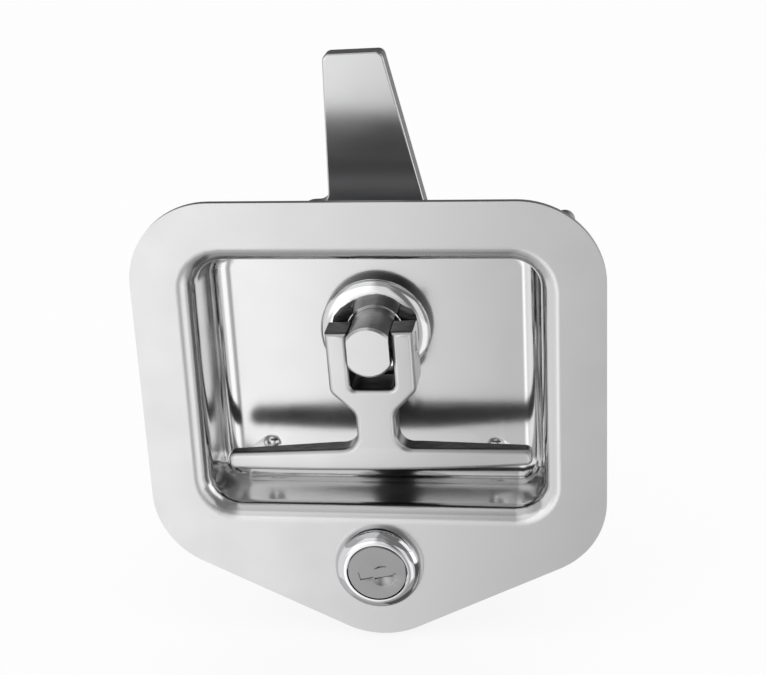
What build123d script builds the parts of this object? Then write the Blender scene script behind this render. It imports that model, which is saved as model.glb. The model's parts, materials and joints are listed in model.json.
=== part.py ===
"""A flush T-handle latch with a key lock, for a vertical door or panel.

Millimetres. X runs to the right, Y runs back into the panel and Z runs up, all
seen from the front. The origin is the middle of the four weld studs, on the back
face of the flange. A stamped stainless pan carries everything: a folding
T-handle on a spindle turns the latch arm behind the pan, and a key lock below
slides a bolt into a notched disc on the spindle.
"""
from build123d import *
import math
import os

os.makedirs("parts", exist_ok=True)


# Sizes of the pan
sheet = 2.0
flange_width = 139.7
flange_top = 59.1
side_foot = -51.1
tip_foot = -85.5
flange_corner_r = 25.4
pan_depth = 22.0
opening_half = 51.2
opening_top = 40.7
opening_foot = -38.9
opening_corner_r = 9.0
wall_draft = 3.5
lip_r = 5.6
floor_r = 6.0

# Studs that hold the flange to its panel
stud_spacing_x = 115.0
stud_spacing_z = 96.0
stud_r = 3.0
stud_length = 16.0
stud_bevel = 0.6

# Places of the two shafts, and the turns that they rest at, in degrees
spindle_z = 12.5
lock_z = -58.1
rest_play = 1.55
key_rest = 12.2
turn_travel = 90.0

# Clearances, on the radius or on one side
running = 0.06
pin_running = 0.05
loose = 0.4

# Spindle
spindle_r = 7.94
spindle_flat = 6.3
spindle_sunk = 0.4
spindle_bevel = 0.7
shoulder_r = 9.4
shoulder_thick = 2.1
drive_r = 6.6
drive_flat = 5.2
thread_r = 5.0
thread_tip = 1.4
ring_wire_r = 0.8
ring_place = 2.6

# Bearing collar on the floor of the pan
collar_r = 16.9
collar_height = 5.5
collar_wall = 3.8
collar_crest_r = 12.2
collar_dish = 0.5
collar_rim_r = 8.7
collar_shank_r = 11.6

# Folding T-handle
handle_sunk = 3.5
fork_thick = 11.9
fork_half = 13.25
fork_top = 5.1
shoulder_foot = -14.0
shoulder_round = 4.0
fork_gap = 0.25
slot_foot = -13.2
slot_round = 1.6
fork_top_round = 2.6
neck_half = 6.0
neck_foot = -19.0
neck_round = 5.0
bar_half = 46.7
bar_top = -32.8
bar_foot = -40.3
bar_end_top = -33.7
bar_end_foot = -39.1
bar_end_round = 2.2
bar_thick = 6.2
bar_end_thick = 3.8
edge_round = 1.5
neck_rise = 0.8
pin_bevel = 0.4
pin_r = 3.0

# Plate riveted behind the pan, with the guides of the slide bolt and the turn stop
plate_thick = 2.0
plate_half = 42.0
plate_top = 32.0
plate_foot = -31.0
plate_round = 6.0
rivet_x = 35.5
rivet_z = -27.3
rivet_r = 1.6
rivet_head_r = 3.0
rivet_head_high = 1.2
dimple_r = 3.1
dimple_deep = 0.6
button_r = 1.9
button_high = 0.5
guide_upper = -17.0
guide_lower = -28.0
guide_wide = 5.0
guide_thick = 1.5
guide_leg = 2.0
rail_half = 1.0
stop_half = 3.0
stop_thick = 2.0
stop_spare = 1.0

# Locking disc, latch arm and their fasteners
spring_gap = 1.2
spring_r = 11.8
spring_thick = 0.5
disc_r = 20.0
disc_thick = 3.0
sleeve_r = 9.5
arm_front = 50.0
arm_thick = 6.35
arm_round = 0.6
washer_thick = 1.6
washer_r = 11.0
nut_across = 16.0
nut_high = 8.0
nut_bevel = 30.0

# Outline of the latch arm, from the spindle axis
arm_tip = 78.1
arm_tip_left = -15.4
arm_tip_right = 3.2
arm_tip_round = 2.2
arm_shoulder = 30.2
arm_left = -17.4
arm_hub_left = -28.4
arm_hub_side = -6.0
arm_hub_foot = -19.0
arm_hub_half = 12.0
arm_hub_right = 19.4
arm_hub_round = 6.0
arm_shoulder_round = 4.0

# Lock body and plug
bezel_r = 13.7
bezel_land_r = 9.9
bezel_high = 5.2
bezel_edge = 0.25
face_high = 5.35
plug_face_r = 9.17
plug_gap = 0.3
plug_r = 6.5
head_deep = 6.0
body_r = 11.2
body_flat = 9.9
body_end = 20.0
body_gap = 0.15
seal_in_r = 11.9
seal_out_r = 13.1
seal_thick = 0.6
lock_nut_across = 26.0
lock_nut_thick = 4.0
clip_gap = 0.2
clip_thick = 0.8
clip_in_r = 5.4
clip_out_r = 7.6
clip_opening = 100.0

# Keyway, shutter and wafers
slot_half = 5.75
slot_high = 2.85
scoop_x = 1.6
scoop_r = 7.5
scoop_deep = 1.0
lip_thick = 0.4
flap_thick = 0.7
flap_foot = -1.75
hinge_high = 2.1
hinge_r = 0.45
pocket_spare = 0.45
pocket_deep = 4.7
trunnion = 0.7
blade_half = 4.2
blade_high = 2.4
wafer_count = 5
wafer_first = 1.5
wafer_pitch = 3.0
wafer_thick = 1.2
wafer_half_high = 3.0
wafer_sunk = 0.1
wafer_gap = 0.1
keyway_end = 16.0

# Cam, its screw and the slide bolt
crank_r = 4.3
crank_pin_r = 1.3
crank_gap = 0.15
cam_thick = 3.0
cam_r = 7.0
tenon_half = 2.75
tenon_long = 1.4
screw_r = 1.5
screw_head_r = 2.8
screw_head_deep = 1.2
screw_deep = 5.0
screw_hole_spare = 1.0
bolt_half = 3.5
strip_half = 8.0
strip_below = 8.0
strip_top = 6.0
bolt_thick = 2.6
bolt_gap = 0.2
bolt_start_gap = 1.2
notch_spare = 0.9
notch_floor_gap = 0.7

# Depths and places worked out from the sizes above
flange_front = -sheet
floor_front = pan_depth - sheet
floor_back = pan_depth
opening_mid = (opening_top + opening_foot) / 2
opening_high = opening_top - opening_foot
collar_face = floor_front - collar_height
collar_floor = collar_face + collar_dish
spindle_front = flange_front + spindle_sunk
spindle_bore_r = spindle_r + running
slot_side = spindle_flat + fork_gap
shoulder_bore_r = shoulder_r + running
shoulder_back = floor_back - running
shoulder_front = shoulder_back - shoulder_thick
shoulder_step = shoulder_front - running
ring_y = collar_floor + ring_place
handle_front = flange_front + handle_sunk
handle_back = handle_front + fork_thick
pin_y = handle_front + fork_thick / 2
bar_back = handle_front + bar_thick
bar_end_back = handle_front + bar_end_thick
plate_back = floor_back + plate_thick
disc_front = plate_back + spring_gap
disc_back = disc_front + disc_thick
arm_back = arm_front + arm_thick
washer_back = arm_back + washer_thick
nut_back = washer_back + nut_high
spindle_end = nut_back + thread_tip
bezel_front = flange_front - bezel_high
plug_front = flange_front - face_high
head_back = plug_front + head_deep
head_bore_r = plug_face_r + plug_gap
flap_front = plug_front + lip_thick + pin_running
hinge_y = flap_front + flap_thick / 2
pocket_back = plug_front + lip_thick + pocket_deep
pocket_half = slot_half + pocket_spare
clip_front = body_end + clip_gap
plug_back = disc_front + bolt_gap - cam_thick - bolt_gap
cam_back = plug_back + cam_thick
half_turn = math.radians(turn_travel / 2)
stroke = 2 * crank_r * math.sin(half_turn)
crank_x = -crank_r * math.cos(half_turn)
crank_z = lock_z - crank_r * math.sin(half_turn)
bolt_front = disc_front + bolt_gap
bolt_back = bolt_front + bolt_thick
bolt_tip = spindle_z - disc_r - bolt_start_gap
notch_r = disc_r + bolt_start_gap - stroke - notch_floor_gap
yoke_half = crank_r + crank_pin_r + loose

spindle_axis = Axis((0, 0, spindle_z), (0, 1, 0))
lock_axis = Axis((0, 0, lock_z), (0, 1, 0))
play = math.radians(rest_play)
across = Vector(math.cos(play), 0, math.sin(play))
upward = Vector(-math.sin(play), 0, math.cos(play))


def facing(y, z=0.0, turn=0.0):
    """A sketch plane at depth y, seen from the front, turned anticlockwise by turn degrees."""
    lean = math.radians(turn)
    return Plane(origin=(0, y, z), x_dir=(math.cos(lean), 0, math.sin(lean)), z_dir=(0, -1, 0))


def on_spindle(y):
    """The same, about the spindle and turned with it."""
    return facing(y, spindle_z, rest_play)


def on_key(y):
    """The same, about the lock and turned with its keyway."""
    return facing(y, lock_z, key_rest)


def turned_section(z, x=0.0):
    """A plane for turned pieces: radius along its X and depth along its Y."""
    return Plane(origin=(x, 0, z), x_dir=(1, 0, 0), z_dir=(0, 0, 1))


def pick(shapes, x, y, slack=0.05):
    """The corners of a symmetric sketch that lie at x, on either side, and at y."""
    return shapes.filter_by(lambda v: abs(abs(v.X) - x) < slack and abs(v.Y - y) < slack)


def nut_outline(across, y_front, y_back):
    """Half section of a hexagon nut whose corners are turned off at both ends."""
    corner = across / math.sqrt(3)
    fall = (corner - across / 2) * math.tan(math.radians(nut_bevel))
    return [
        (0, y_front),
        (across / 2, y_front),
        (corner, y_front + fall),
        (corner, y_back - fall),
        (across / 2, y_back),
        (0, y_back),
    ]


def finish(piece, name):
    """Name a finished piece and write it to its own file."""
    piece.part.label = name
    export_step(piece.part, f"parts/{name}.step")


# Room inside the pan, with its floor radius
with BuildPart() as recess:
    with BuildSketch(facing(flange_front)):
        with Locations((0, opening_mid)):
            RectangleRounded(2 * opening_half, opening_high, opening_corner_r)
    extrude(amount=flange_front - floor_front, taper=wall_draft)
    recess_floor = faces().sort_by(Axis.Y)[-1]
    fillet(recess_floor.edges(), floor_r)

# Pan: flange, drawn recess, and holes for the collar, the rivets and the lock
with BuildPart() as pan:
    with BuildSketch(facing(0)):
        with BuildLine():
            Polyline(
                (-flange_width / 2, flange_top),
                (-flange_width / 2, side_foot),
                (0, tip_foot),
                (flange_width / 2, side_foot),
                (flange_width / 2, flange_top),
                close=True,
            )
        make_face()
        fillet(vertices(), flange_corner_r)
    extrude(amount=sheet)
    with BuildSketch(facing(0)):
        with Locations((0, opening_mid)):
            RectangleRounded(2 * (opening_half + sheet), opening_high + 2 * sheet, opening_corner_r + sheet)
    extrude(amount=-floor_back, taper=wall_draft)
    back_floor = faces().sort_by(Axis.Y)[-1]
    root = edges().filter_by_position(Axis.Y, -0.01, 0.01).filter_by_position(
        Axis.X, -opening_half - lip_r, opening_half + lip_r
    ).filter_by_position(Axis.Z, opening_foot - lip_r, opening_top + lip_r)
    fillet(back_floor.edges(), floor_r + sheet)
    fillet(root, lip_r - sheet)
    add(recess.part, mode=Mode.SUBTRACT)
    mouth = edges().filter_by_position(Axis.Y, flange_front - 0.01, flange_front + 0.01).filter_by_position(
        Axis.X, -opening_half - 0.1, opening_half + 0.1
    ).filter_by_position(Axis.Z, opening_foot - 0.1, opening_top + 0.1)
    fillet(mouth, lip_r)
    with BuildSketch(facing(floor_back, spindle_z)):
        Circle(collar_shank_r)
    extrude(amount=sheet, mode=Mode.SUBTRACT)
    with BuildSketch(facing(floor_back)):
        with Locations((-rivet_x, rivet_z), (rivet_x, rivet_z)):
            Circle(rivet_r)
    extrude(amount=sheet, mode=Mode.SUBTRACT)
    dimple_ball = (dimple_r**2 + dimple_deep**2) / (2 * dimple_deep)
    with Locations(*[(x, floor_front + dimple_deep - dimple_ball, rivet_z) for x in (-rivet_x, rivet_x)]):
        Sphere(dimple_ball, mode=Mode.SUBTRACT)
    with BuildSketch(facing(0, lock_z)):
        Circle(body_r + body_gap)
        Rectangle(3 * body_r, 2 * (body_flat + body_gap), mode=Mode.INTERSECT)
    extrude(amount=sheet, mode=Mode.SUBTRACT)
finish(pan, "pan")

# Four blind studs, welded to the back of the flange
with BuildPart() as weld_studs:
    with BuildSketch(facing(0)):
        with GridLocations(stud_spacing_x, stud_spacing_z, 2, 2):
            Circle(stud_r)
    extrude(amount=-stud_length)
    stud_tips = faces().group_by(Axis.Y)[-1]
    chamfer(stud_tips.edges(), stud_bevel)
finish(weld_studs, "weld_studs")

# Collar that the spindle turns in, with a dished face and a domed polished rim
with BuildPart() as bearing_collar:
    with BuildSketch(turned_section(spindle_z)):
        with BuildLine():
            Polyline(
                (spindle_bore_r, shoulder_step),
                (spindle_bore_r, collar_floor - collar_dish / 2),
                (collar_rim_r, collar_floor - collar_dish / 2),
                (collar_rim_r + collar_dish / 2, collar_floor),
                (collar_crest_r, collar_face),
            )
            EllipticalCenterArc(
                (collar_crest_r, floor_front - collar_wall),
                collar_r - collar_crest_r,
                collar_height - collar_wall,
                start_angle=270,
                arc_size=90,
            )
            Polyline(
                (collar_r, floor_front - collar_wall),
                (collar_r, floor_front),
                (collar_shank_r, floor_front),
                (collar_shank_r, floor_back),
                (shoulder_bore_r, floor_back),
                (shoulder_bore_r, shoulder_step),
                (spindle_bore_r, shoulder_step),
            )
        make_face()
    revolve(axis=spindle_axis)
finish(bearing_collar, "bearing_collar")

# Spindle: flats and pin hole in front, shoulder behind the collar, flats and thread at the back
with BuildPart() as spindle:
    with BuildSketch(turned_section(spindle_z)):
        with BuildLine():
            Polyline(
                (0, spindle_front),
                (spindle_r - spindle_bevel, spindle_front),
                (spindle_r, spindle_front + spindle_bevel),
                (spindle_r, shoulder_front),
                (shoulder_r, shoulder_front),
                (shoulder_r, shoulder_back),
                (spindle_r, shoulder_back),
                (spindle_r, disc_front),
                (drive_r, disc_front),
                (drive_r, arm_back),
                (thread_r, arm_back),
                (thread_r, spindle_end - thread_tip / 2),
                (thread_r - thread_tip / 2, spindle_end),
                (0, spindle_end),
                close=True,
            )
        make_face()
    revolve(axis=spindle_axis)
    with BuildSketch(turned_section(spindle_z)):
        with Locations((spindle_r, ring_y)):
            Rectangle(4 * ring_wire_r, 2 * ring_wire_r + 2 * running)
    revolve(axis=spindle_axis, mode=Mode.SUBTRACT)
    front_flats = collar_floor - collar_dish / 2 - spindle_front
    with BuildSketch(on_spindle(spindle_front)):
        with Locations((-spindle_flat - spindle_r, 0), (spindle_flat + spindle_r, 0)):
            Rectangle(2 * spindle_r, 4 * spindle_r)
    extrude(amount=-front_flats, mode=Mode.SUBTRACT)
    with BuildSketch(on_spindle(disc_front)):
        with Locations((-drive_flat - drive_r, 0), (drive_flat + drive_r, 0)):
            Rectangle(2 * drive_r, 4 * drive_r)
    extrude(amount=disc_front - arm_back, mode=Mode.SUBTRACT)
    with BuildSketch(Plane(origin=(0, pin_y, spindle_z), x_dir=(0, 1, 0), z_dir=across)):
        Circle(pin_r + pin_running)
    extrude(amount=2 * spindle_r, both=True, mode=Mode.SUBTRACT)
finish(spindle, "spindle")

# Rubber ring in the groove of the spindle
with BuildPart() as spindle_o_ring:
    with BuildSketch(turned_section(spindle_z)):
        with Locations((spindle_r - ring_wire_r + running / 2, ring_y)):
            Circle(ring_wire_r)
    revolve(axis=spindle_axis)
finish(spindle_o_ring, "spindle_o_ring")

# T-handle: fork and crossbar from one outline, thinned at the back of the bar
bar_side = [
    (fork_half, fork_top),
    (fork_half, shoulder_foot),
    (neck_half, shoulder_foot - (fork_half - neck_half)),
    (neck_half, bar_top),
    (bar_half, bar_end_top),
    (bar_half, bar_end_foot),
]
with BuildPart() as t_handle:
    with BuildSketch(on_spindle(handle_front)):
        with BuildLine():
            Polyline(*[(-x, z) for x, z in reversed(bar_side)], *bar_side)
            ThreePointArc((bar_half, bar_end_foot), (0, bar_foot), (-bar_half, bar_end_foot))
        make_face()
        fillet(pick(vertices(), *bar_side[1]), shoulder_round)
        fillet(pick(vertices(), *bar_side[2]), shoulder_round)
        fillet(pick(vertices(), *bar_side[3]), neck_round)
        fillet(pick(vertices(), *bar_side[4]), bar_end_round)
        fillet(pick(vertices(), *bar_side[5]), bar_end_round)
    extrude(amount=-fork_thick)
    side_view = Plane(origin=(0, 0, spindle_z), x_dir=(0, 1, 0), z_dir=across)
    with BuildSketch(side_view):
        with BuildLine():
            Polyline(
                (handle_back, neck_foot),
                (bar_back, bar_top + neck_rise),
                (bar_back, 2 * bar_foot),
                (2 * handle_back, 2 * bar_foot),
                (2 * handle_back, neck_foot),
                close=True,
            )
        make_face()
        fillet(pick(vertices(), bar_back, bar_top + neck_rise), neck_round)
    extrude(amount=2 * bar_half, both=True, mode=Mode.SUBTRACT)
    top_view = Plane(origin=(0, 0, spindle_z), x_dir=across, z_dir=upward)
    bar_fall = (bar_back - bar_end_back) / (bar_half - fork_half)
    with BuildSketch(top_view.offset(2 * bar_foot)):
        with BuildLine():
            Polyline(
                (fork_half, bar_back),
                (2 * bar_half, bar_back - bar_fall * (2 * bar_half - fork_half)),
                (2 * bar_half, 2 * handle_back),
                (fork_half, 2 * handle_back),
                close=True,
            )
        make_face()
        mirror(about=Plane.YZ)
    extrude(amount=-2 * bar_foot + neck_foot, mode=Mode.SUBTRACT)
    with BuildSketch(on_spindle(handle_front)):
        with Locations((0, slot_foot)):
            Rectangle(2 * slot_side, 2 * fork_top - slot_foot, align=(Align.CENTER, Align.MIN))
        fillet(vertices().group_by(Axis.Y)[0], slot_round)
    extrude(amount=-fork_thick, mode=Mode.SUBTRACT)
    with BuildSketch(Plane(origin=(0, pin_y, spindle_z), x_dir=(0, 1, 0), z_dir=across)):
        Circle(pin_r)
    extrude(amount=2 * fork_half, both=True, mode=Mode.SUBTRACT)
    back_edges = edges().filter_by(lambda e: e.center().Y > handle_back - 0.01)
    fillet(back_edges.filter_by(lambda e: e.center().Z > spindle_z + fork_top - 1), fork_top_round)
    front_face = faces().filter_by(Axis.Y).sort_by(Axis.Y)[0]
    fillet(front_face.outer_wire().edges(), edge_round)
finish(t_handle, "t_handle")

# Pin that the handle folds on, held in the fork and free in the spindle
with BuildPart() as pivot_pin:
    with BuildSketch(Plane(origin=(0, pin_y, spindle_z), x_dir=(0, 1, 0), z_dir=across)):
        Circle(pin_r)
    extrude(amount=fork_half, both=True)
    chamfer(edges().filter_by(GeomType.CIRCLE), pin_bevel)
finish(pivot_pin, "pivot_pin")

# Plate behind the pan: keeps the spindle in, guides the slide bolt and stops the turn
guide_in = strip_half + bolt_gap
guide_out = guide_in + guide_leg
guide_back = bolt_back + bolt_gap
stop_r = (notch_r + disc_r) / 2
with BuildPart() as backing_plate:
    with BuildSketch(facing(plate_back)):
        with Locations((0, (plate_top + plate_foot) / 2)):
            RectangleRounded(2 * plate_half, plate_top - plate_foot, plate_round)
        with Locations((0, spindle_z)):
            Circle(spindle_r + loose / 2, mode=Mode.SUBTRACT)
        with Locations((-rivet_x, rivet_z), (rivet_x, rivet_z)):
            Circle(rivet_r, mode=Mode.SUBTRACT)
    extrude(amount=plate_thick)
    with BuildSketch(facing(plate_back)):
        for x in (-bolt_half, bolt_half):
            with Locations((x, (guide_upper + guide_lower) / 2)):
                Rectangle(2 * rail_half, guide_upper - guide_lower + guide_wide)
    extrude(amount=plate_back - bolt_front + bolt_gap / 2)
    with BuildSketch(facing(plate_back)):
        for z in (guide_upper, guide_lower):
            with Locations((-(guide_in + guide_out) / 2, z), ((guide_in + guide_out) / 2, z)):
                Rectangle(guide_leg, guide_wide)
    extrude(amount=plate_back - guide_back - guide_thick)
    with BuildSketch(facing(guide_back)):
        for z in (guide_upper, guide_lower):
            with Locations((0, z)):
                Rectangle(2 * guide_out, guide_wide)
    extrude(amount=-guide_thick)
    with BuildSketch(facing(plate_back, spindle_z)):
        with Locations((0, stop_r)):
            Rectangle(2 * stop_half, stop_thick)
    extrude(amount=plate_back - disc_back)
finish(backing_plate, "backing_plate")

# Two rivets through the floor and the plate, with a button in each dimple
dimple_floor = floor_front + dimple_deep
button_foot = dimple_floor - dimple_ball + math.sqrt(dimple_ball**2 - button_r**2)
shank_foot = dimple_floor - dimple_ball + math.sqrt(dimple_ball**2 - rivet_r**2)
button_crown = button_foot - button_high
head_ball = (rivet_head_r**2 + rivet_head_high**2) / (2 * rivet_head_high)
button_ball = (button_r**2 + (button_foot - button_crown) ** 2) / (2 * (button_foot - button_crown))
with BuildPart() as plate_rivets:
    for x in (-rivet_x, rivet_x):
        with BuildSketch(turned_section(rivet_z, x)):
            with BuildLine():
                RadiusArc((rivet_head_r, plate_back), (0, plate_back + rivet_head_high), -head_ball)
                Line((0, plate_back + rivet_head_high), (0, button_crown))
                RadiusArc((0, button_crown), (button_r, button_foot), -button_ball)
                Polyline(
                    (button_r, button_foot),
                    (rivet_r, shank_foot),
                    (rivet_r, plate_back),
                    (rivet_head_r, plate_back),
                )
            make_face()
        revolve(axis=Axis((x, 0, rivet_z), (0, 1, 0)))
finish(plate_rivets, "plate_rivets")

# Coned spring washer that keeps the spindle from rattling
spring_in = spindle_r + loose
with BuildPart() as spring_washer:
    with BuildSketch(turned_section(spindle_z)):
        with BuildLine():
            Polyline(
                (spring_in, disc_front - spring_thick - pin_running),
                (spring_in, disc_front - pin_running),
                (spring_r, plate_back + spring_thick),
                (spring_r, plate_back),
                close=True,
            )
        make_face()
    revolve(axis=spindle_axis)
finish(spring_washer, "spring_washer")

# Disc with two notches for the slide bolt and a cut-away rim for the turn stop
stop_angle = math.degrees(math.asin(stop_half / notch_r)) + stop_spare
stop_start = 90 - rest_play - stop_angle
stop_sweep = turn_travel + 2 * stop_angle
notch_half = bolt_half + notch_spare
with BuildPart() as locking_disc:
    with BuildSketch(on_spindle(disc_back)):
        Circle(disc_r)
        with BuildLine():
            inner = CenterArc((0, 0), notch_r, stop_start, stop_sweep)
            outer = CenterArc((0, 0), disc_r + loose, stop_start, stop_sweep)
            Line(inner @ 0, outer @ 0)
            Line(inner @ 1, outer @ 1)
        make_face(mode=Mode.SUBTRACT)
        with Locations((0, -notch_r)):
            Rectangle(2 * notch_half, disc_r, align=(Align.CENTER, Align.MAX), mode=Mode.SUBTRACT)
        with Locations((notch_r, 0)):
            Rectangle(disc_r, 2 * notch_half, align=(Align.MIN, Align.CENTER), mode=Mode.SUBTRACT)
    extrude(amount=disc_thick)
    with BuildSketch(on_spindle(disc_back)):
        Circle(drive_r + running)
        Rectangle(2 * (drive_flat + running), 4 * drive_r, mode=Mode.INTERSECT)
    extrude(amount=disc_thick, mode=Mode.SUBTRACT)
finish(locking_disc, "locking_disc")

# Sleeve that sets the arm back from the disc
with BuildPart() as spacer_sleeve:
    with BuildSketch(on_spindle(arm_front)):
        Circle(sleeve_r)
        Circle(drive_r + running, mode=Mode.SUBTRACT)
    extrude(amount=arm_front - disc_back)
finish(spacer_sleeve, "spacer_sleeve")

# Latch arm: one flat lever with a shouldered hub and a tapering finger
with BuildPart() as latch_arm:
    with BuildSketch(on_spindle(arm_back)):
        with BuildLine():
            Polyline(
                (arm_tip_left, arm_tip),
                (arm_left, arm_shoulder),
                (arm_hub_left, arm_shoulder),
                (arm_hub_left, arm_hub_side),
                (-arm_hub_half, arm_hub_foot),
                (arm_hub_half, arm_hub_foot),
                (arm_hub_right, arm_hub_side),
                (arm_hub_right, 0),
                (arm_tip_right, arm_tip),
                close=True,
            )
        make_face()
        fillet(vertices().filter_by(lambda v: v.Y > arm_tip - 1), arm_tip_round)
        fillet(vertices().filter_by(lambda v: abs(v.X - arm_left) < 0.05), arm_shoulder_round)
        fillet(vertices().filter_by(lambda v: v.X < arm_left - 1 or v.Y < -1), arm_hub_round)
        Circle(drive_r + running, mode=Mode.SUBTRACT)
    extrude(amount=arm_thick)
    with BuildSketch(on_spindle(arm_back)):
        with Locations((-drive_flat - running - drive_r, 0), (drive_flat + running + drive_r, 0)):
            Rectangle(2 * drive_r, 2 * drive_r)
        Circle(drive_r + 2 * running, mode=Mode.INTERSECT)
    extrude(amount=arm_thick)
    rim_edges = faces().filter_by(Axis.Y).sort_by(Axis.Y)[0].outer_wire().edges()
    fillet(rim_edges, arm_round)
finish(latch_arm, "latch_arm")

# Washer and nut that hold the arm on the spindle
with BuildPart() as arm_washer:
    with BuildSketch(on_spindle(washer_back)):
        Circle(washer_r)
        Circle(thread_r + running, mode=Mode.SUBTRACT)
    extrude(amount=washer_thick)
finish(arm_washer, "arm_washer")

with BuildPart() as arm_nut:
    with BuildSketch(on_spindle(nut_back)):
        RegularPolygon(nut_across / 2, 6, major_radius=False)
        Circle(thread_r, mode=Mode.SUBTRACT)
    extrude(amount=nut_high)
    with BuildSketch(turned_section(spindle_z)):
        Polygon(*nut_outline(nut_across, washer_back, nut_back), align=None)
    revolve(axis=spindle_axis, mode=Mode.INTERSECT)
finish(arm_nut, "arm_nut")

# Lock body: domed bezel in front of the flange and a flatted barrel behind it
with BuildPart() as lock_housing:
    with BuildSketch(turned_section(lock_z)):
        with BuildLine():
            Line((head_bore_r, bezel_front), (bezel_land_r, bezel_front))
            EllipticalCenterArc(
                (bezel_land_r, flange_front - bezel_edge),
                bezel_r - bezel_land_r,
                bezel_high - bezel_edge,
                start_angle=270,
                arc_size=90,
            )
            Polyline(
                (bezel_r, flange_front - bezel_edge),
                (bezel_r, flange_front),
                (seal_out_r, flange_front),
                (seal_out_r, flange_front - seal_thick),
                (seal_in_r, flange_front - seal_thick),
                (seal_in_r, flange_front),
                (body_r, flange_front),
                (body_r, body_end),
                (plug_r + running, body_end),
                (plug_r + running, head_back + running),
                (head_bore_r, head_back + running),
                (head_bore_r, bezel_front),
            )
        make_face()
    revolve(axis=lock_axis)
    with BuildSketch(facing(flange_front, lock_z)):
        with Locations((0, -body_flat - body_r), (0, body_flat + body_r)):
            Rectangle(4 * body_r, 2 * body_r)
    extrude(amount=flange_front - body_end, mode=Mode.SUBTRACT)
finish(lock_housing, "lock_housing")

# Seal pressed between the bezel and the flange
with BuildPart() as lock_seal:
    with BuildSketch(facing(flange_front, lock_z)):
        Circle(seal_out_r)
        Circle(seal_in_r, mode=Mode.SUBTRACT)
    extrude(amount=seal_thick)
finish(lock_seal, "lock_seal")

# Nut that clamps the lock body to the flange
with BuildPart() as lock_mounting_nut:
    with BuildSketch(facing(lock_nut_thick, lock_z)):
        RegularPolygon(lock_nut_across / 2, 6, major_radius=False)
        Circle(body_r, mode=Mode.SUBTRACT)
    extrude(amount=lock_nut_thick)
    with BuildSketch(turned_section(lock_z)):
        Polygon(*nut_outline(lock_nut_across, 0, lock_nut_thick), align=None)
    revolve(axis=lock_axis, mode=Mode.INTERSECT)
finish(lock_mounting_nut, "lock_mounting_nut")

# Plug that the key turns: broad face, keyway, wafer slots and a square end
with BuildPart() as key_plug:
    with BuildSketch(turned_section(lock_z)):
        with BuildLine():
            Polyline(
                (0, plug_front),
                (plug_face_r - plug_gap, plug_front),
                (plug_face_r, plug_front + plug_gap),
                (plug_face_r, head_back),
                (plug_r, head_back),
                (plug_r, clip_front),
                (clip_in_r - running, clip_front),
                (clip_in_r - running, clip_front + clip_thick + running),
                (plug_r, clip_front + clip_thick + running),
                (plug_r, plug_back),
                (0, plug_back),
                close=True,
            )
        make_face()
    revolve(axis=lock_axis)
    with BuildSketch(on_key(plug_back)):
        Rectangle(2 * tenon_half, 2 * tenon_half)
    extrude(amount=-tenon_long)
    with BuildSketch(on_key(plug_front)):
        Rectangle(2 * slot_half, slot_high)
    extrude(amount=-lip_thick, mode=Mode.SUBTRACT)
    with BuildSketch(on_key(plug_front + lip_thick)):
        with Locations((0, flap_foot - pocket_spare)):
            Rectangle(
                2 * pocket_half,
                hinge_high - flap_foot + 2 * pocket_spare + hinge_r,
                align=(Align.CENTER, Align.MIN),
            )
    extrude(amount=-pocket_deep, mode=Mode.SUBTRACT)
    with BuildSketch(on_key(pocket_back)):
        Rectangle(2 * blade_half, blade_high)
    extrude(amount=pocket_back - keyway_end, mode=Mode.SUBTRACT)
    for i in range(wafer_count):
        with BuildSketch(on_key(wafer_first + i * wafer_pitch)):
            Rectangle(4 * plug_r, 2 * (wafer_half_high + wafer_gap))
        extrude(amount=-wafer_thick - 2 * wafer_gap, mode=Mode.SUBTRACT)
    key_across = Vector(math.cos(math.radians(key_rest)), 0, math.sin(math.radians(key_rest)))
    key_up = Vector(-math.sin(math.radians(key_rest)), 0, math.cos(math.radians(key_rest)))
    hinge_point = Vector(0, hinge_y, lock_z) + key_up * hinge_high
    with BuildSketch(Plane(origin=hinge_point, x_dir=(0, 1, 0), z_dir=key_across)):
        Circle(hinge_r + pin_running)
    extrude(amount=pocket_half + trunnion + running, both=True, mode=Mode.SUBTRACT)
    scoop_middle = Vector(0, plug_front + scoop_deep - scoop_r, lock_z)
    with Locations(scoop_middle + key_across * scoop_x - key_up * (slot_high / 2)):
        Sphere(scoop_r, mode=Mode.SUBTRACT)
    with BuildSketch(on_key(plug_back + tenon_long)):
        Circle(screw_r)
    extrude(amount=tenon_long + screw_deep + screw_hole_spare, mode=Mode.SUBTRACT)
finish(key_plug, "key_plug")

# Wafers in the plug, each with a window for the key
with BuildPart() as wafer_tumblers:
    for i in range(wafer_count):
        with BuildSketch(on_key(wafer_first + wafer_gap + i * wafer_pitch)):
            Circle(plug_r - wafer_sunk)
            Rectangle(4 * plug_r, 2 * wafer_half_high, mode=Mode.INTERSECT)
            Rectangle(2 * (blade_half + wafer_gap), blade_high + 2 * wafer_gap, mode=Mode.SUBTRACT)
        extrude(amount=-wafer_thick)
finish(wafer_tumblers, "wafer_tumblers")

# Small flap that closes the keyway behind the face
with BuildPart() as keyway_shutter:
    with BuildSketch(on_key(flap_front)):
        with Locations((0, flap_foot)):
            Rectangle(2 * pocket_half - pocket_spare, hinge_high - flap_foot, align=(Align.CENTER, Align.MIN))
    extrude(amount=-flap_thick)
    with BuildSketch(Plane(origin=hinge_point, x_dir=(0, 1, 0), z_dir=key_across)):
        Circle(hinge_r)
    extrude(amount=pocket_half + trunnion, both=True)
finish(keyway_shutter, "keyway_shutter")

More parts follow.
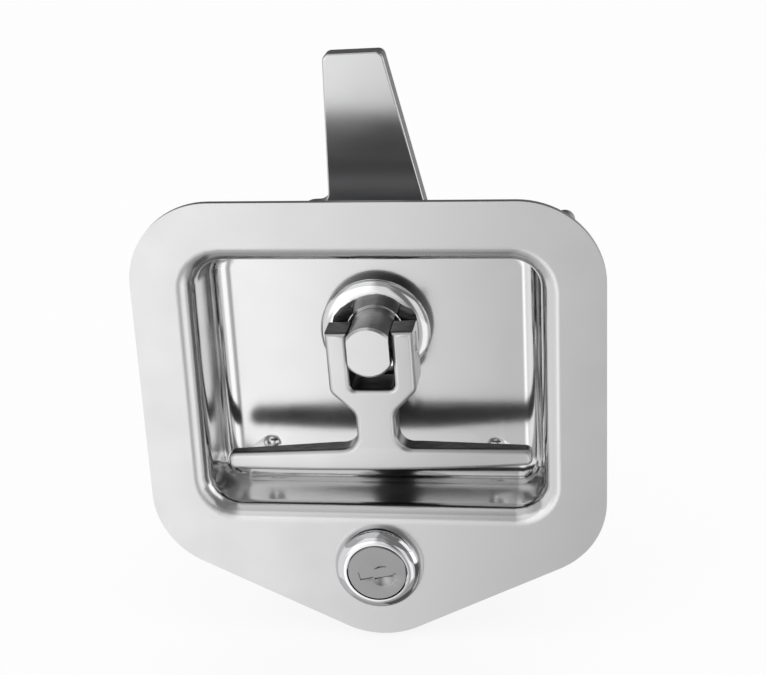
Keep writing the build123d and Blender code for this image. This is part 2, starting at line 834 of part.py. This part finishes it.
# Clip that keeps the plug in the lock body
with BuildPart() as plug_retaining_clip:
    with BuildSketch(on_key(clip_front + clip_thick)):
        with BuildLine():
            clip_start = -90 + clip_opening / 2
            clip_sweep = 360 - clip_opening
            clip_in = CenterArc((0, 0), clip_in_r, clip_start, clip_sweep)
            clip_out = CenterArc((0, 0), clip_out_r, clip_start, clip_sweep)
            Line(clip_in @ 0, clip_out @ 0)
            Line(clip_in @ 1, clip_out @ 1)
        make_face()
    extrude(amount=clip_thick)
finish(plug_retaining_clip, "plug_retaining_clip")

# Cam on the square end of the plug, with the crank pin that drives the bolt
with BuildPart() as lock_cam:
    with BuildSketch(facing(cam_back, lock_z)):
        Circle(cam_r)
    extrude(amount=cam_thick)
    with BuildSketch(facing(bolt_back)):
        with Locations((crank_x, crank_z)):
            Circle(crank_pin_r)
    extrude(amount=bolt_back - cam_back)
    with BuildSketch(on_key(plug_back)):
        Rectangle(2 * (tenon_half + running), 2 * (tenon_half + running))
    extrude(amount=-tenon_long - running, mode=Mode.SUBTRACT)
    with BuildSketch(turned_section(lock_z)):
        with BuildLine():
            Polyline(
                (0, plug_back),
                (screw_r + running, plug_back),
                (screw_r + running, cam_back - screw_head_deep),
                (screw_head_r, cam_back),
                (0, cam_back),
                close=True,
            )
        make_face()
    revolve(axis=lock_axis, mode=Mode.SUBTRACT)
finish(lock_cam, "lock_cam")

# Countersunk screw that holds the cam
with BuildPart() as cam_screw:
    with BuildSketch(turned_section(lock_z)):
        with BuildLine():
            Polyline(
                (0, plug_back - screw_deep),
                (screw_r, plug_back - screw_deep),
                (screw_r, cam_back - screw_head_deep),
                (screw_head_r - running, cam_back - running),
                (0, cam_back - running),
                close=True,
            )
        make_face()
    revolve(axis=lock_axis)
finish(cam_screw, "cam_screw")

# Bolt that slides up into the disc, with the cross slot for the crank pin
with BuildPart() as slide_bolt:
    with BuildSketch(facing(bolt_back)):
        strip_foot = lock_z - strip_below
        strip_head = bolt_tip - strip_top
        with Locations((0, strip_foot)):
            Rectangle(2 * strip_half, strip_head - strip_foot, align=(Align.CENTER, Align.MIN))
        with Locations((0, strip_head)):
            Rectangle(2 * bolt_half, bolt_tip - strip_head, align=(Align.CENTER, Align.MIN))
        fillet(vertices().group_by(Axis.Y)[0], bolt_half)
        fillet(vertices().group_by(Axis.Y)[-1], notch_spare)
        with Locations((0, crank_z)):
            SlotOverall(2 * yoke_half, 2 * (crank_pin_r + crank_gap), mode=Mode.SUBTRACT)
    extrude(amount=bolt_thick)
finish(slide_bolt, "slide_bolt")
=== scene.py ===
"""Looks of a flush T-handle latch: finishes, a pale studio and the camera.

Metres. X runs to the right, Y runs back into the panel and Z runs up, seen from
the front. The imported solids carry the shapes, and each gets the finish of the
real piece here.
"""
import json
import math

import bmesh
import bpy
import numpy as np
from mathutils import Matrix, Vector


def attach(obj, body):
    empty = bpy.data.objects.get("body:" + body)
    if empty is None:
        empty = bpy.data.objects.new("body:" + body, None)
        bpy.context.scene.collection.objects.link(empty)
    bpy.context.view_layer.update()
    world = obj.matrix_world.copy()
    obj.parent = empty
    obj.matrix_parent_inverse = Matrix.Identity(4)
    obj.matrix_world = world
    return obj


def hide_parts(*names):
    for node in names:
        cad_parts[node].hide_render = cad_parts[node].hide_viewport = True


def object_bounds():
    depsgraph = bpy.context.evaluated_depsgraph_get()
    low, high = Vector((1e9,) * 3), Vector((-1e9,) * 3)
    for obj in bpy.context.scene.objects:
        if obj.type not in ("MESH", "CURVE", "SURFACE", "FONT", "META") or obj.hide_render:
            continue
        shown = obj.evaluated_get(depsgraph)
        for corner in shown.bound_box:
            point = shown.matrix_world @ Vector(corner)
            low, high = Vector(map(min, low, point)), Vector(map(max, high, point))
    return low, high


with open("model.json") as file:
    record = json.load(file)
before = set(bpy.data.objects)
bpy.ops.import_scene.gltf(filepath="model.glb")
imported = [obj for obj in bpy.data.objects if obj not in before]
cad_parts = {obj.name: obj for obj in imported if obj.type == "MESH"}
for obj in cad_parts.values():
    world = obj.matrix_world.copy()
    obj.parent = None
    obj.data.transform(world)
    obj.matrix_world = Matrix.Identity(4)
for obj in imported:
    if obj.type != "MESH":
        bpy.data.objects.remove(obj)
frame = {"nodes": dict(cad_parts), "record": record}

cad_low, cad_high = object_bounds()
nodes = frame["nodes"]

# Places on the latch that the finishes follow
MM = 0.001
FLANGE_FRONT = -2.0 * MM
PAN_FLOOR = 20.0 * MM
PAN_BACK = 22.0 * MM
SPINDLE_Z = 12.5 * MM

# Sizes of the wear on metal
PATCH_SIZE = 14 * MM
BLOTCH_SIZE = 1.2 * MM
BLOTCH_STRETCH = (3, 1, 1)
RING_HEIGHT = 0.002 * MM

# Crossbar's crown, in mm
CROWN_RADIUS_UP = 37.0
CROWN_RADIUS_ALONG = 500.0


def linear(hex_colour, alpha=1.0):
    """An sRGB hex colour such as "C8C8C8" as the linear values that sockets take."""
    srgb = np.array([int(hex_colour[i:i + 2], 16) for i in (0, 2, 4)]) / 255
    values = np.where(srgb <= 0.04045, srgb / 12.92, ((srgb + 0.055) / 1.055) ** 2.4)
    return (*values.tolist(), alpha)


def add(tree, kind, inputs=None, **settings):
    """Add a node of a kind; inputs are values or the output sockets of other nodes."""
    node = tree.nodes.new(kind)
    for name, value in settings.items():
        setattr(node, name, value)
    for name, value in (inputs or {}).items():
        if isinstance(value, bpy.types.NodeSocket):
            tree.links.new(value, node.inputs[name])
        else:
            node.inputs[name].default_value = value
    return node


def new_finish(name):
    """An empty material with its Principled shader, and the place of each point on the piece."""
    material = bpy.data.materials.new(name)
    material.use_nodes = True
    tree = material.node_tree
    tree.nodes.clear()
    shader = add(tree, "ShaderNodeBsdfPrincipled")
    output = add(tree, "ShaderNodeOutputMaterial", {"Surface": shader.outputs["BSDF"]})
    output.is_active_output = True
    place = add(tree, "ShaderNodeTexCoord").outputs["Object"]
    return material, tree, shader, place


def plain(name, colour, roughness):
    """A finish with one colour and one roughness."""
    material, tree, shader, _ = new_finish(name)
    shader.inputs["Base Color"].default_value = linear(colour)
    shader.inputs["Roughness"].default_value = roughness
    return material, tree, shader


def wear(tree, place, size, low, high, detail=3.0, stretch=(1, 1, 1)):
    """Soft noise whose grains are size metres wide, drawn out by stretch, from low to high."""
    noise_low, noise_high = 0.3, 0.7  # nearly all of the noise lies between these
    spread = add(tree, "ShaderNodeMapping", {"Vector": place, "Scale": [1 / s for s in stretch]})
    noise = add(tree, "ShaderNodeTexNoise", {"Vector": spread.outputs[0], "Scale": 1 / size,
                                             "Detail": detail})
    ranged = add(tree, "ShaderNodeMapRange", {"Value": noise.outputs["Fac"], "From Min": noise_low,
                                              "From Max": noise_high, "To Min": low, "To Max": high})
    return ranged.outputs["Result"]


def by_depth(tree, place, stops):
    """Grey value along Y, from stops of depth in metres behind the weld studs' plane and value."""
    depth = add(tree, "ShaderNodeSeparateXYZ", {"Vector": place}).outputs["Y"]
    first, last = stops[0][0], stops[-1][0]
    along = add(tree, "ShaderNodeMapRange", {"Value": depth, "From Min": first, "From Max": last})
    ramp = add(tree, "ShaderNodeValToRGB", {"Fac": along.outputs["Result"]})
    marks = ramp.color_ramp.elements
    for count, (at, value) in enumerate(stops):
        # A new ramp has two marks already
        mark = marks[count] if count < 2 else marks.new(1.0)
        mark.position = (at - first) / (last - first)
        mark.color = (value, value, value, 1.0)
    return ramp.outputs["Color"]


def from_spindle(tree, place):
    """Distance from the spindle's axis."""
    centred = add(tree, "ShaderNodeMapping", {"Vector": place, "Location": (0, 0, -SPINDLE_Z),
                                              "Scale": (1, 0, 1)})
    return add(tree, "ShaderNodeVectorMath", {0: centred.outputs[0]}, operation="LENGTH").outputs["Value"]


def turned_rings(tree, place, pitch):
    """Height of the facing tool's rings round the spindle's axis, from -1 to 1: a sine of the radius."""
    turns = 2 * math.pi / pitch
    phase = add(tree, "ShaderNodeMath", {0: from_spindle(tree, place), 1: turns}, operation="MULTIPLY")
    return add(tree, "ShaderNodeMath", {0: phase.outputs[0]}, operation="SINE").outputs[0]


def facing(tree):
    """The normal's shares along X, Y and Z."""
    normal = add(tree, "ShaderNodeTexCoord").outputs["Normal"]
    return add(tree, "ShaderNodeSeparateXYZ", {"Vector": normal}).outputs


def sheared_edge(tree, place):
    """1 on the faces that look away from Y, which the shear or the saw left, and 0 on the sheet's faces."""
    edge, face = 0.2, 0.5  # the normal's Y share at which a face counts as the one or the other
    away = add(tree, "ShaderNodeMath", {0: facing(tree)["Y"]}, operation="ABSOLUTE")
    share = add(tree, "ShaderNodeMapRange", {"Value": away.outputs[0], "From Min": edge, "From Max": face,
                                             "To Min": 1.0, "To Max": 0.0})
    return share.outputs["Result"]


def sheet_back(tree, place):
    """1 on the side of the pan that looks back or outwards, and 0 on the polished side.

    It is the normal's Y share, or the normal along the line out from the middle of the pan."""
    polished, bare = 0.15, 0.35
    normal = add(tree, "ShaderNodeTexCoord").outputs["Normal"]
    out = add(tree, "ShaderNodeMapping", {"Vector": place, "Scale": (1, 0, 1)}).outputs[0]
    away = add(tree, "ShaderNodeVectorMath", {0: out}, operation="NORMALIZE").outputs["Vector"]
    outward = add(tree, "ShaderNodeVectorMath", {0: away, 1: normal},
                  operation="DOT_PRODUCT").outputs["Value"]
    rear = add(tree, "ShaderNodeSeparateXYZ", {"Vector": normal}).outputs["Y"]
    most = add(tree, "ShaderNodeMath", {0: outward, 1: rear}, operation="MAXIMUM").outputs[0]
    share = add(tree, "ShaderNodeMapRange", {"Value": most, "From Min": polished, "From Max": bare})
    return share.outputs["Result"]


def cast_skin_and_painted_shade(tree, place):
    """1 where the belt never reaches the handle: faces that look back, up or down, and inside the slot. The
    dark skin is partly painted shade: on the underside and inside the slot it darkens the handle where shade
    falls.
    """
    parts = add(tree, "ShaderNodeSeparateXYZ", {"Vector": place}).outputs
    share = facing(tree)
    skin_and_shade = 0.0
    # The normal's share at which the skin starts and is whole: on the back, the top and the underside, whose
    # skin is painted shade
    for value, first, whole in ((share["Y"], 0.1, 0.5), (share["Z"], 0.75, 0.92), (share["Z"], -0.6, -0.9)):
        turned = add(tree, "ShaderNodeMapRange", {"Value": value, "From Min": first, "From Max": whole})
        skin_and_shade = add(tree, "ShaderNodeMath", {0: turned.outputs["Result"], 1: skin_and_shade},
                   operation="MAXIMUM").outputs[0]
    across = add(tree, "ShaderNodeMath", {0: parts["X"]}, operation="ABSOLUTE").outputs[0]
    slot = 1.0
    # The slot's sides, its foot, and the rounded edge of the front face that it starts behind. Inside the
    # slot the skin is painted shade
    for value, first, whole in ((across, 7.2 * MM, 6.7 * MM), (parts["Z"], -1.6 * MM, -1.0 * MM),
                                (parts["Y"], 1.8 * MM, 2.4 * MM)):
        within = add(tree, "ShaderNodeMapRange", {"Value": value, "From Min": first, "From Max": whole})
        slot = add(tree, "ShaderNodeMath", {0: slot, 1: within.outputs["Result"]},
                   operation="MULTIPLY").outputs[0]
    return add(tree, "ShaderNodeMath", {0: skin_and_shade, 1: slot}, operation="MAXIMUM").outputs[0]


def collar_wall_painted_shade(tree, place):
    """1 on the wall under the collar's rim, which is 16.9 mm from the spindle's axis: this wall is painted
    near black as shade.
    """
    inside, rim = 16.5 * MM, 16.8 * MM
    outside = add(tree, "ShaderNodeMapRange", {"Value": from_spindle(tree, place), "From Min": inside,
                                               "From Max": rim}).outputs["Result"]
    upright = sheared_edge(tree, place)
    return add(tree, "ShaderNodeMath", {0: outside, 1: upright}, operation="MULTIPLY").outputs[0]


def bar_crown(tree, place):
    """Height in mm of the crossbar's crowned face: one parabola up it and one along it."""
    bar_foot, bar_top = -28.5 * MM, -20 * MM
    below_middle, above_middle = -4.3, 4.2  # mm from the height at which the bar stands out furthest
    parts = add(tree, "ShaderNodeSeparateXYZ", {"Vector": place}).outputs
    rise = add(tree, "ShaderNodeMapRange", {"Value": parts["Z"], "From Min": bar_foot, "From Max": bar_top,
                                            "To Min": below_middle, "To Max": above_middle}).outputs["Result"]
    square = add(tree, "ShaderNodeMath", {0: rise, 1: rise}, operation="MULTIPLY").outputs[0]
    fall = -1 / (2 * CROWN_RADIUS_UP)
    up = add(tree, "ShaderNodeMath", {0: square, 1: fall}, operation="MULTIPLY").outputs[0]
    along = add(tree, "ShaderNodeMath", {0: parts["X"], 1: 1 / MM}, operation="MULTIPLY").outputs[0]
    square = add(tree, "ShaderNodeMath", {0: along, 1: along}, operation="MULTIPLY").outputs[0]
    fall = -1 / (2 * CROWN_RADIUS_ALONG)
    return add(tree, "ShaderNodeMath", {0: square, 1: fall, 2: up}, operation="MULTIPLY_ADD").outputs[0]


def metal(name, colour, roughness, grain, grain_height, patches=0.02, other=None, ring_pitch=None,
          crown=None):
    """A bare or plated metal: slow patches in its roughness and a fine grain in its surface.

    Colour and roughness are one value each or stops for by_depth. Other is a mask for the faces
    with another skin, its darkest and lightest colour and its roughness. On the cast handle this skin
    is partly painted shade, and on the collar it is wholly painted shade."""
    material, tree, shader, place = new_finish(name)
    shader.inputs["Metallic"].default_value = 1.0
    soft = by_depth(tree, place, roughness) if isinstance(roughness, list) else roughness
    slow = wear(tree, place, PATCH_SIZE, -patches, patches)
    soft = add(tree, "ShaderNodeMath", {0: soft, 1: slow}, operation="ADD").outputs[0]
    if isinstance(colour, list):
        tone = by_depth(tree, place, [(depth, linear(shade)[0]) for depth, shade in colour])
        tree.links.new(tone, shader.inputs["Base Color"])
    else:
        tone = linear(colour)
        shader.inputs["Base Color"].default_value = tone
    # A Mix node takes two numbers at its sockets 2 and 3, and two colours at 6 and 7
    if other:
        mask, (dark, light), other_roughness = other
        share = mask(tree, place)
        soft = add(tree, "ShaderNodeMix", {0: share, 2: soft, 3: other_roughness}).outputs[0]
        blotch = wear(tree, place, BLOTCH_SIZE, 0, 1, detail=4.0, stretch=BLOTCH_STRETCH)
        skin_and_shade = add(tree, "ShaderNodeMix", {0: blotch, 6: linear(dark), 7: linear(light)}, data_type="RGBA")
        tone = add(tree, "ShaderNodeMix", {0: share, 6: tone, 7: skin_and_shade.outputs[2]}, data_type="RGBA")
        tree.links.new(tone.outputs[2], shader.inputs["Base Color"])
    tree.links.new(soft, shader.inputs["Roughness"])
    fine = wear(tree, place, grain, 0, 1, detail=2.0)
    bump = add(tree, "ShaderNodeBump", {"Height": fine, "Distance": grain_height, "Strength": 1.0})
    if crown:
        bump = add(tree, "ShaderNodeBump", {"Height": crown(tree, place), "Distance": MM, "Strength": 1.0,
                                            "Normal": bump.outputs["Normal"]})
    if ring_pitch:
        marks = turned_rings(tree, place, ring_pitch)
        bump = add(tree, "ShaderNodeBump", {"Height": marks, "Distance": RING_HEIGHT, "Strength": 1.0,
                                            "Normal": bump.outputs["Normal"]})
    tree.links.new(bump.outputs["Normal"], shader.inputs["Normal"])
    return material


# Drawing burnishes the lip and the radii of the pan, so the flange and the floor are the dullest
pan_roughness = [(FLANGE_FRONT, 0.3), (FLANGE_FRONT + 0.5 * MM, 0.2), (2 * MM, 0.14), (10 * MM, 0.18),
                 (15 * MM, 0.15), (19.6 * MM, 0.12), (PAN_FLOOR, 0.2), (PAN_BACK, 0.3)]
pan_colour = [(FLANGE_FRONT, "D6D6D7"), (2 * MM, "E4E4E5"), (19.6 * MM, "E8E8E9"), (PAN_FLOOR, "D8D8D9"),
              (PAN_BACK, "D6D6D7")]

# The grains of the satin metals are drawn 0.25 to 0.6 mm wide. The real ones are under 0.1 mm, too
# fine for a pixel of 0.3 mm. The buffed metals have the wheel's own waves, 2 mm wide.
finishes = {
    # Stainless sheet, satin-finished by the mill and drawn over a punch: soft reflections on the
    # flange, clear streaks on the lip and walls, and a dull bare back
    "satin_stainless": metal("satin_stainless_sheet", pan_colour, pan_roughness, 0.4 * MM, 0.004 * MM,
                             other=(sheet_back, ("8A8A8B", "929293"), 0.36)),
    # Stainless casting with its front ground on a belt: an even pale satin face, and a dark
    # mottled skin where the mould's surface is left, which is also painted shade on the underside
    # and inside the slot
    "cast_stainless": metal("satin_stainless_casting", "D6D6D7", 0.32, 0.5 * MM, 0.006 * MM,
                            other=(cast_skin_and_painted_shade, ("424242", "646464"), 0.42), crown=bar_crown),
    # Stainless ring, turned and buffed in front: a mirror, with painted shade on the wall under its rim, near
    # black
    "polished_stainless": metal("polished_stainless", "DEDEDF", 0.06, 2.0 * MM, 0.001 * MM, 0.01,
                                other=(collar_wall_painted_shade, ("141414", "1E1E1E"), 0.35)),
    # Drawn stainless bar with its ends faced in a lathe: a pale end with faint rings, and
    # darker sides
    "turned_steel": metal("turned_stainless_bar", "DADADB", 0.2, 0.3 * MM, 0.003 * MM,
                          other=(sheared_edge, ("747474", "868686"), 0.26), ring_pitch=0.3 * MM),
    # Steel plate, polished on its faces and then sheared: clear reflections, with dark torn edges
    "arm_steel": metal("polished_steel_plate", "D2D2D3", 0.2, 0.4 * MM, 0.003 * MM,
                       other=(sheared_edge, ("5A5A5A", "848484"), 0.42)),
    # Pressed steel dipped in bright zinc: a bluish grey, duller on the cut edges
    "zinc_plated": metal("bright_zinc_plate", "BEC0C4", 0.28, 0.6 * MM, 0.004 * MM,
                         other=(sheared_edge, ("9EA0A4", "B0B2B6"), 0.4)),
    # Zinc casting, buffed and chromed: nearly a mirror all over
    "chrome_plate": metal("bright_chrome_plate", "DEDEE0", 0.04, 2.0 * MM, 0.001 * MM, 0.01),
    # Brass casting, tumbled and then nickel-plated: an even mid grey without clear reflections
    "plug_face": metal("dull_nickel_plate", "A2A2A2", 0.3, 0.25 * MM, 0.004 * MM),
    # Brass strip, rolled bright and stamped: a yellow with a soft shine
    "wafer_brass": metal("stamped_brass", "D8B464", 0.3, 0.4 * MM, 0.003 * MM),
    # Rubber pressed in a matt mould: black with hardly a shine
    "black_rubber": plain("black_rubber", "151515", 0.6)[0],
}

# Nodes that show large radii or mirrors, with the names of their copies
SMOOTHED = {"pan": "pan_sheet", "t_handle": "handle_casting", "bearing_collar": "collar_ring",
            "lock_housing": "lock_bezel", "key_plug": "plug_face", "spindle": "spindle_bar",
            "latch_arm": "arm_plate", "weld_studs": "stud_shanks"}
CREASE = math.radians(30)
MERGE_DISTANCE = 0.001 * MM


def smooth_copy(node, name, body):
    """A copy of a node with its loose triangles merged and each corner's normal averaged by face area.

    Flats stay flat and the radii run into them, so a mirrored line crosses from one to the other unbroken."""
    mesh = nodes[node].data.copy()
    shape = bmesh.new()
    shape.from_mesh(mesh)
    bmesh.ops.remove_doubles(shape, verts=shape.verts, dist=MERGE_DISTANCE)
    shape.to_mesh(mesh)
    shape.free()
    if "custom_normal" in mesh.attributes:
        mesh.attributes.remove(mesh.attributes["custom_normal"])
    mesh.shade_smooth()
    mesh.set_sharp_from_angle(angle=CREASE)
    piece = bpy.data.objects.new(name, mesh)
    bpy.context.scene.collection.objects.link(piece)
    weighted = piece.modifiers.new("weighted_normals", "WEIGHTED_NORMAL")
    weighted.keep_sharp = True
    weighted.weight = 50
    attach(piece, body)
    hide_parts(node)
    return piece


body_of = {node: body for body, members in frame["record"]["behaviour"]["bodies"].items() for node in members}
for row in frame["record"]["subparts"]:
    node, slot = row["node"], row["material_slot"]
    piece = nodes[node]
    if node in SMOOTHED:
        piece = smooth_copy(node, SMOOTHED[node], body_of[node])
    piece.material_slots[0].material = finishes[slot]

# Camera, where the photograph was taken from: in front, to the right and above. It was worked out
# from the flange's outline, the two shafts and the crossbar.
camera = bpy.data.objects.new("camera", bpy.data.cameras.new("camera"))
bpy.context.scene.collection.objects.link(camera)
camera_place = (0.0740635, -0.4597224, 0.2033896)
right = Vector((0.99032084, 0.13009491, -0.04837299))
up = Vector((-0.00402582, 0.37529264, 0.92689764))
back = Vector((0.13873869, -0.91773131, 0.37218386))
turn = Matrix((right, up, back)).transposed()
camera.matrix_world = Matrix.Translation(camera_place) @ turn.to_4x4()
camera.data.lens = 80.1376
camera.data.sensor_width = 36.0
camera.data.clip_start = 0.01
bpy.context.scene.camera = camera


def softbox(name, place, towards, side, watts):
    """A large square soft lamp, which neither the camera nor the metal sees."""
    data = bpy.data.lights.new(name, "AREA")
    data.shape = "RECTANGLE"
    data.size = side
    data.size_y = side
    data.energy = watts
    lamp = bpy.data.objects.new(name, data)
    bpy.context.scene.collection.objects.link(lamp)
    lamp.location = place
    lamp.rotation_euler = (Vector(towards) - Vector(place)).to_track_quat("-Z", "Y").to_euler()
    lamp.visible_camera = False
    lamp.visible_glossy = False
    return lamp


softbox("left_softbox", place=(-0.7, -0.8, 0.5), towards=(0, 0, 0), side=0.5, watts=1.0)


def studio_board(tree, across, height, sides, ends, soft, level):
    """A soft bright patch of the studio, between two bearings and two heights, in degrees."""
    patch = level
    for angle, (first, last) in ((across, sides), (height, ends)):
        for edge, start, stop in ((first, 0.0, 1.0), (last, 1.0, 0.0)):
            fade = add(tree, "ShaderNodeMapRange", {"Value": angle, "From Min": edge - soft,
                                                    "From Max": edge + soft, "To Min": start, "To Max": stop},
                       interpolation_type="SMOOTHSTEP").outputs["Result"]
            patch = add(tree, "ShaderNodeMath", {0: patch, 1: fade}, operation="MULTIPLY").outputs[0]
    return patch


# The studio that the metal mirrors, as the latch sees it. Each row of boards has its lower and upper
# height, the softness of its edges, and its boards from left to right: the bearing where each starts
# and its brightness. Angles are in degrees, and a bearing of 0 is straight in front. The brightnesses
# come from a fit by a scratch program, which matched 42 boards to the greys of the reflections in the
# photograph. They were then merged and rounded.
BEHIND = 181
studio = [
    # Under the latch, for the steep part of the upper lip: dim, and nearly dark on the right
    ((-92, -58), 5, [(-181, 0.4), (-10, 0.1)]),
    # Low, for the start of the upper lip: a soft fall of light from left to right
    ((-58, -38), 4, [(-181, 0.6), (-10, 0.4), (60, 0.2), (100, 0.8)]),
    # Below the level, for every flat face: a window left of the middle, and a second one on the right
    ((-38, -12), 3, [(-181, 0.6), (-100, 0.9), (-25, 1.6), (-14, 1.2), (-8, 0.7), (-2, 0.4), (5, 0.6),
                     (16, 1.2), (45, 0.7), (62, 0.1), (100, 0.8)]),
    # Level, for the start of the lower lip: the same window, a dark post beside it and a lamp on the right
    ((-12, 12), 3, [(-181, 0.6), (-100, 0.9), (-40, 1.4), (-8, 0.9), (2, 0.2), (15, 0.9), (38, 0.3),
                    (66, 1.5), (100, 0.8)]),
    # Above the level, for the lower lip: bright on the left, dim in the middle, and the top of the lamp
    ((12, 44), 5, [(-181, 0.1), (-100, 0.5), (-40, 1.0), (-8, 0.4), (10, 0.2), (66, 1.2), (100, 0.2)]),
    # Overhead, for the edges that look up: a dim ceiling
    ((44, 92), 8, [(-181, 0.7), (-10, 0.3), (30, 0.2)]),
]

# World: plain white for the eye and for matt surfaces, and the sum of the boards for reflections
WHITE = 1.0
world = bpy.data.worlds.new("studio")
bpy.context.scene.world = world
world.use_nodes = True
tree = world.node_tree
tree.nodes.clear()
direction = add(tree, "ShaderNodeTexCoord").outputs["Generated"]
parts = add(tree, "ShaderNodeSeparateXYZ", {"Vector": direction}).outputs
ahead = add(tree, "ShaderNodeMath", {0: parts["Y"], 1: -1.0}, operation="MULTIPLY").outputs[0]
bearing = add(tree, "ShaderNodeMath", {0: parts["X"], 1: ahead}, operation="ARCTAN2").outputs[0]
climb = add(tree, "ShaderNodeMath", {0: parts["Z"]}, operation="ARCSINE").outputs[0]
across = add(tree, "ShaderNodeMath", {0: bearing}, operation="DEGREES").outputs[0]
height = add(tree, "ShaderNodeMath", {0: climb}, operation="DEGREES").outputs[0]
total = 0.0
for ends, soft, boards in studio:
    stops = [bearing for bearing, level in boards[1:]] + [BEHIND]
    for (start, level), stop in zip(boards, stops):
        patch = studio_board(tree, across, height, (start, stop), ends, soft, level)
        total = add(tree, "ShaderNodeMath", {0: patch, 1: total}, operation="ADD").outputs[0]
mirrored = add(tree, "ShaderNodeLightPath").outputs["Is Glossy Ray"]
light = add(tree, "ShaderNodeMix", {0: mirrored, 2: WHITE, 3: total}).outputs[0]
surround = add(tree, "ShaderNodeBackground", {"Color": (1, 1, 1, 1), "Strength": light})
add(tree, "ShaderNodeOutputWorld", {"Surface": surround.outputs[0]})

# Pale floor under the latch, lifted to white for the camera so that only the shadow shows
FLOOR_REACH = 3.0
FLOOR_GAP = 1 * MM
FLOOR_GLOW = 0.85
floor_z = cad_low.z - FLOOR_GAP
floor_mesh = bpy.data.meshes.new("floor")
corners = [(x * FLOOR_REACH, y * FLOOR_REACH, floor_z) for x, y in ((-1, -1), (1, -1), (1, 1), (-1, 1))]
floor_mesh.from_pydata(corners, [], [(0, 1, 2, 3)])
floor = bpy.data.objects.new("floor", floor_mesh)
bpy.context.scene.collection.objects.link(floor)
material, tree, shader = plain("matt_white_floor", "F4F4F4", 0.9)
output = next(n for n in tree.nodes if n.type == "OUTPUT_MATERIAL")
glow = add(tree, "ShaderNodeEmission", {"Color": (1, 1, 1, 1), "Strength": 1.0})
seen = add(tree, "ShaderNodeLightPath").outputs["Is Camera Ray"]
share = add(tree, "ShaderNodeMath", {0: seen, 1: FLOOR_GLOW}, operation="MULTIPLY").outputs[0]
mixed = add(tree, "ShaderNodeMixShader", {0: share, 1: shader.outputs[0], 2: glow.outputs[0]})
tree.links.new(mixed.outputs[0], output.inputs["Surface"])
floor_mesh.materials.append(material)
floor.visible_glossy = False

bpy.context.scene.view_settings.view_transform = "Standard"
